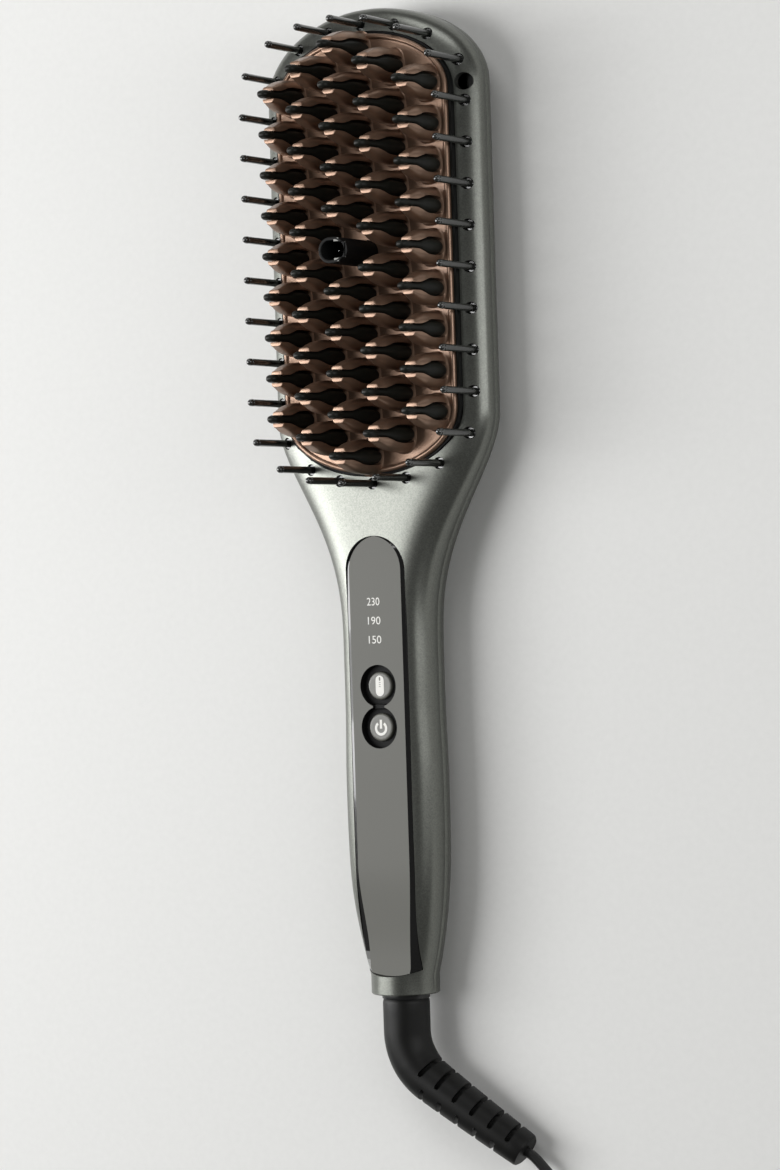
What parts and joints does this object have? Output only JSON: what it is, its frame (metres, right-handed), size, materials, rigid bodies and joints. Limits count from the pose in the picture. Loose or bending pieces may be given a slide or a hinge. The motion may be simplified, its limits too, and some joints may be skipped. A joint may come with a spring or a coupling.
{
  "type": "hair straightening brush",
  "caption": "Heated hair straightening brush with copper-coloured split teeth, outer guard pins, a two-button handle and a swivel cord ending in a flat plug.",
  "frame": {"origin": "middle of the brush's footprint, at the height of the surface that it lies on", "axes": "+Z the way the teeth point, +Y from the handle to the head, X across the width"},
  "size_m": [0.1049, 0.4414, 0.04],
  "materials": {
    "champagne_shell": "satin metallic paint on moulded ABS",
    "copper_coat": "die-cast, copper-coloured ceramic coating",
    "black_plastic": "moulded, satin",
    "pin_nylon": "moulded, glossy",
    "silicone": "moulded, matte",
    "panel_gloss": "polished",
    "steel": "turned",
    "ceramic": "sintered, matte",
    "aluminium": "extruded",
    "mica": "pressed sheet",
    "heat_plastic": "glass-filled, moulded",
    "circuit_board": "laminate with solder mask",
    "component": "moulded",
    "clear_plastic": "clear acrylic",
    "lead_insulation": "extruded silicone",
    "brass": "turned",
    "boot_rubber": "moulded, satin",
    "cord_sheath": "extruded, satin"
  },
  "bodies": {
    "root": {"front_shell": "champagne_shell", "rear_shell": "champagne_shell", "heater_plate": "copper_coat", "plate_gasket": "silicone", "cool_tips": "black_plastic", "outer_pins": "pin_nylon", "pin_ring": "black_plastic", "ion_nozzle": "black_plastic", "emitter_needle": "steel", "heater_strips": "ceramic", "heat_spreader": "aluminium", "mica_sheet": "mica", "heater_cradle": "heat_plastic", "cradle_screws": "steel", "thermistor": "component", "thermal_fuse": "steel", "ion_module": "component", "control_panel": "panel_gloss", "control_board": "circuit_board", "board_screws": "steel", "tact_switches": "component", "status_lights": "clear_plastic", "light_guide": "clear_plastic", "board_parts": "component", "heater_leads": "lead_insulation", "supply_leads": "lead_insulation", "shell_screws": "steel", "contact_block": "heat_plastic", "contact_fingers": "brass"},
    "power_button": {"power_button": "black_plastic"},
    "temp_button": {"temp_button": "black_plastic"},
    "swivel": {"swivel_stem": "black_plastic", "contact_rings": "brass", "cord_boot": "boot_rubber", "cord": "cord_sheath", "cord_coil": "cord_sheath", "coil_tie": "boot_rubber", "plug_body": "black_plastic", "plug_pins": "brass"}
  },
  "joints": [
    {"name": "power_press", "type": "slide", "parent": "root", "child": "power_button", "axis": [0, 0, -1], "range_m": [0, 0.0006], "stiffness_N_per_m": 800},
    {"name": "temp_press", "type": "slide", "parent": "root", "child": "temp_button", "axis": [0, 0, -1], "range_m": [0, 0.0006], "stiffness_N_per_m": 800},
    {"name": "cord_swivel", "type": "hinge", "parent": "root", "child": "swivel", "pos_m": [0, -0.14225, 0.01], "axis": [0, 1, 0], "continuous": true}
  ]
}
